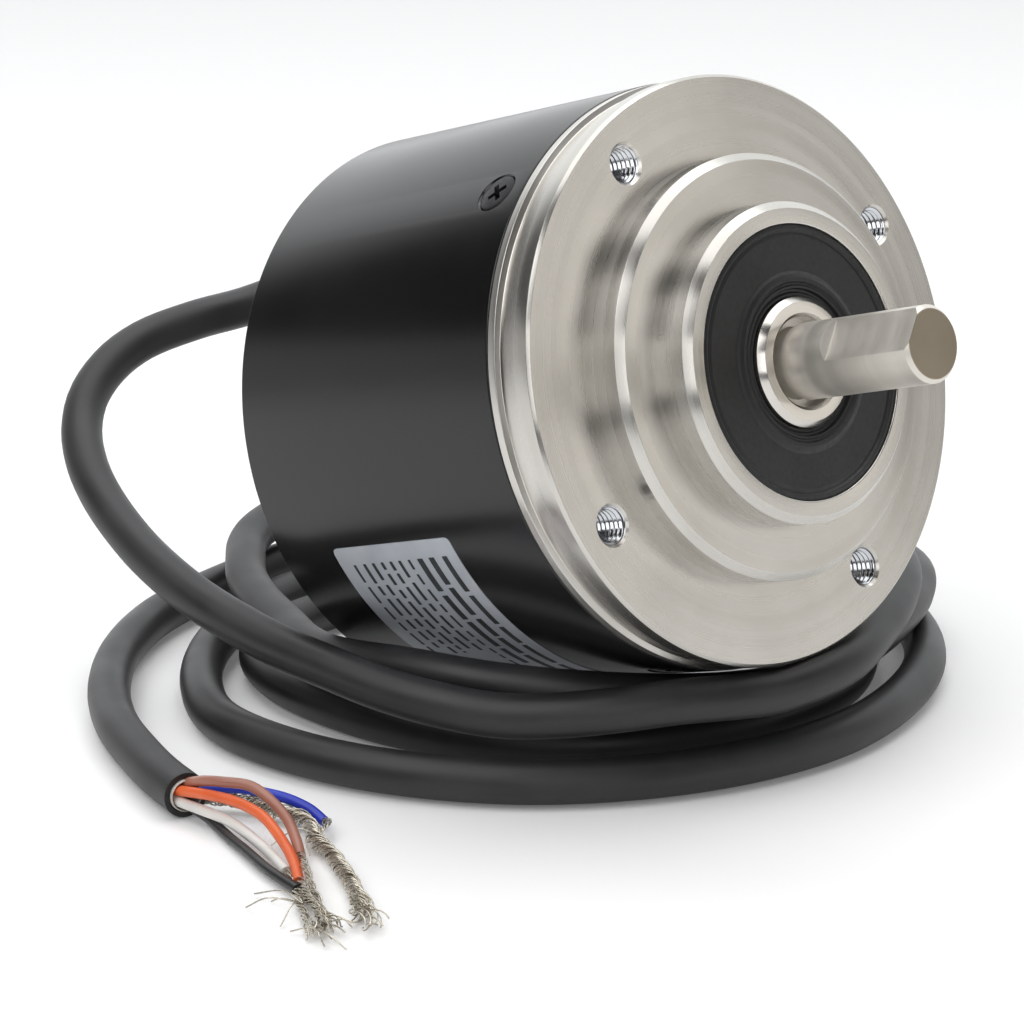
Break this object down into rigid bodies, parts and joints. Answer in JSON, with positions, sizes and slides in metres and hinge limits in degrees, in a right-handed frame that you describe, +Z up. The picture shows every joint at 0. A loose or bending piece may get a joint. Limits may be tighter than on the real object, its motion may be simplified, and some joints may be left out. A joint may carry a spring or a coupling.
{
  "type": "rotary encoder",
  "caption": "Heavy-duty shaft encoder: flanged aluminium housing with stepped pilots and tapped holes, sealed flatted shaft on ball bearings, painted cover, coiled cable with stripped wires.",
  "frame": {"origin": "on the surface it stands on, below the middle of the encoder's box without its cable", "axes": "+Z up; the shaft axis lies in the XZ plane and points along +X with a nose-up lean of 16 degrees, as the encoder leans on its coiled cable"},
  "size_m": [0.1466, 0.1563, 0.0908],
  "materials": {
    "anodised_aluminium": "turned, satin",
    "black_paint": "semi-gloss black paint",
    "black_screw": "black oxide",
    "black_rubber": "matt moulded",
    "label_film": "silver polyester film",
    "stainless_shaft": "ground stainless",
    "bearing_steel": "polished",
    "zinc_steel": "bright zinc",
    "cage_nylon": "moulded nylon",
    "brass_turned": "turned",
    "optical_glass": "polished with an etched track",
    "black_plastic": "moulded",
    "clear_epoxy": "clear epoxy",
    "circuit_board": "green solder mask",
    "cream_nylon": "moulded nylon",
    "cable_jacket": "matt PVC jacket",
    "brown_pvc": "PVC insulation",
    "orange_pvc": "PVC insulation",
    "blue_pvc": "PVC insulation",
    "white_pvc": "PVC insulation",
    "black_pvc": "PVC insulation",
    "tinned_copper": "tinned copper strands"
  },
  "bodies": {
    "housing": {"flange_housing": "anodised_aluminium", "rear_cover": "black_paint", "cover_screws": "black_screw", "cover_o_ring": "black_rubber", "name_label": "label_film", "oil_seal": "black_rubber", "seal_case": "zinc_steel", "seal_spring": "zinc_steel", "front_outer_race": "bearing_steel", "front_shields": "zinc_steel", "rear_outer_race": "bearing_steel", "rear_shields": "zinc_steel", "wave_washer": "zinc_steel", "housing_ring": "black_screw", "led_holder": "black_plastic", "led_holder_screws": "zinc_steel", "led": "clear_epoxy", "reticle": "optical_glass", "photo_sensor": "black_plastic", "sensor_board": "circuit_board", "output_board": "circuit_board", "board_components": "black_plastic", "board_standoffs": "brass_turned", "board_screws": "zinc_steel", "wire_connector": "cream_nylon", "inner_wires": "orange_pvc", "cable_ferrule": "zinc_steel", "cable_grommet": "black_rubber", "cable_lead": "cable_jacket", "cable_coil": "cable_jacket", "cable_tail": "cable_jacket", "brown_wire": "brown_pvc", "orange_wire": "orange_pvc", "blue_wire": "blue_pvc", "white_wire": "white_pvc", "black_wire": "black_pvc", "shield_braid": "tinned_copper", "wire_strands": "tinned_copper"},
    "rotor": {"shaft": "stainless_shaft", "shaft_sleeve": "stainless_shaft", "bearing_spacer": "bearing_steel", "shaft_ring": "black_screw", "front_inner_race": "bearing_steel", "rear_inner_race": "bearing_steel", "disc_hub": "brass_turned", "code_disc": "optical_glass", "disc_clamp_ring": "brass_turned", "disc_screws": "zinc_steel", "hub_set_screws": "black_screw"},
    "front_cage_set": {"front_balls": "bearing_steel", "front_cage": "cage_nylon"},
    "rear_cage_set": {"rear_balls": "bearing_steel", "rear_cage": "cage_nylon"}
  },
  "joints": [
    {"name": "shaft_spin", "type": "hinge", "parent": "housing", "child": "rotor", "pos_m": [0.01656, 0, 0.05341], "axis": [0.9613, 0, 0.2756], "continuous": true},
    {"name": "front_cage_spin", "type": "hinge", "parent": "housing", "child": "front_cage_set", "pos_m": [0.01416, 0, 0.05272], "axis": [0.9613, 0, 0.2756], "continuous": true},
    {"name": "rear_cage_spin", "type": "hinge", "parent": "housing", "child": "rear_cage_set", "pos_m": [-0.00699, 0, 0.04665], "axis": [0.9613, 0, 0.2756], "continuous": true}
  ],
  "couplings": [
    {"joint": "front_cage_spin", "follows": "shaft_spin", "ratio": 0.3987},
    {"joint": "rear_cage_spin", "follows": "shaft_spin", "ratio": 0.3987}
  ]
}
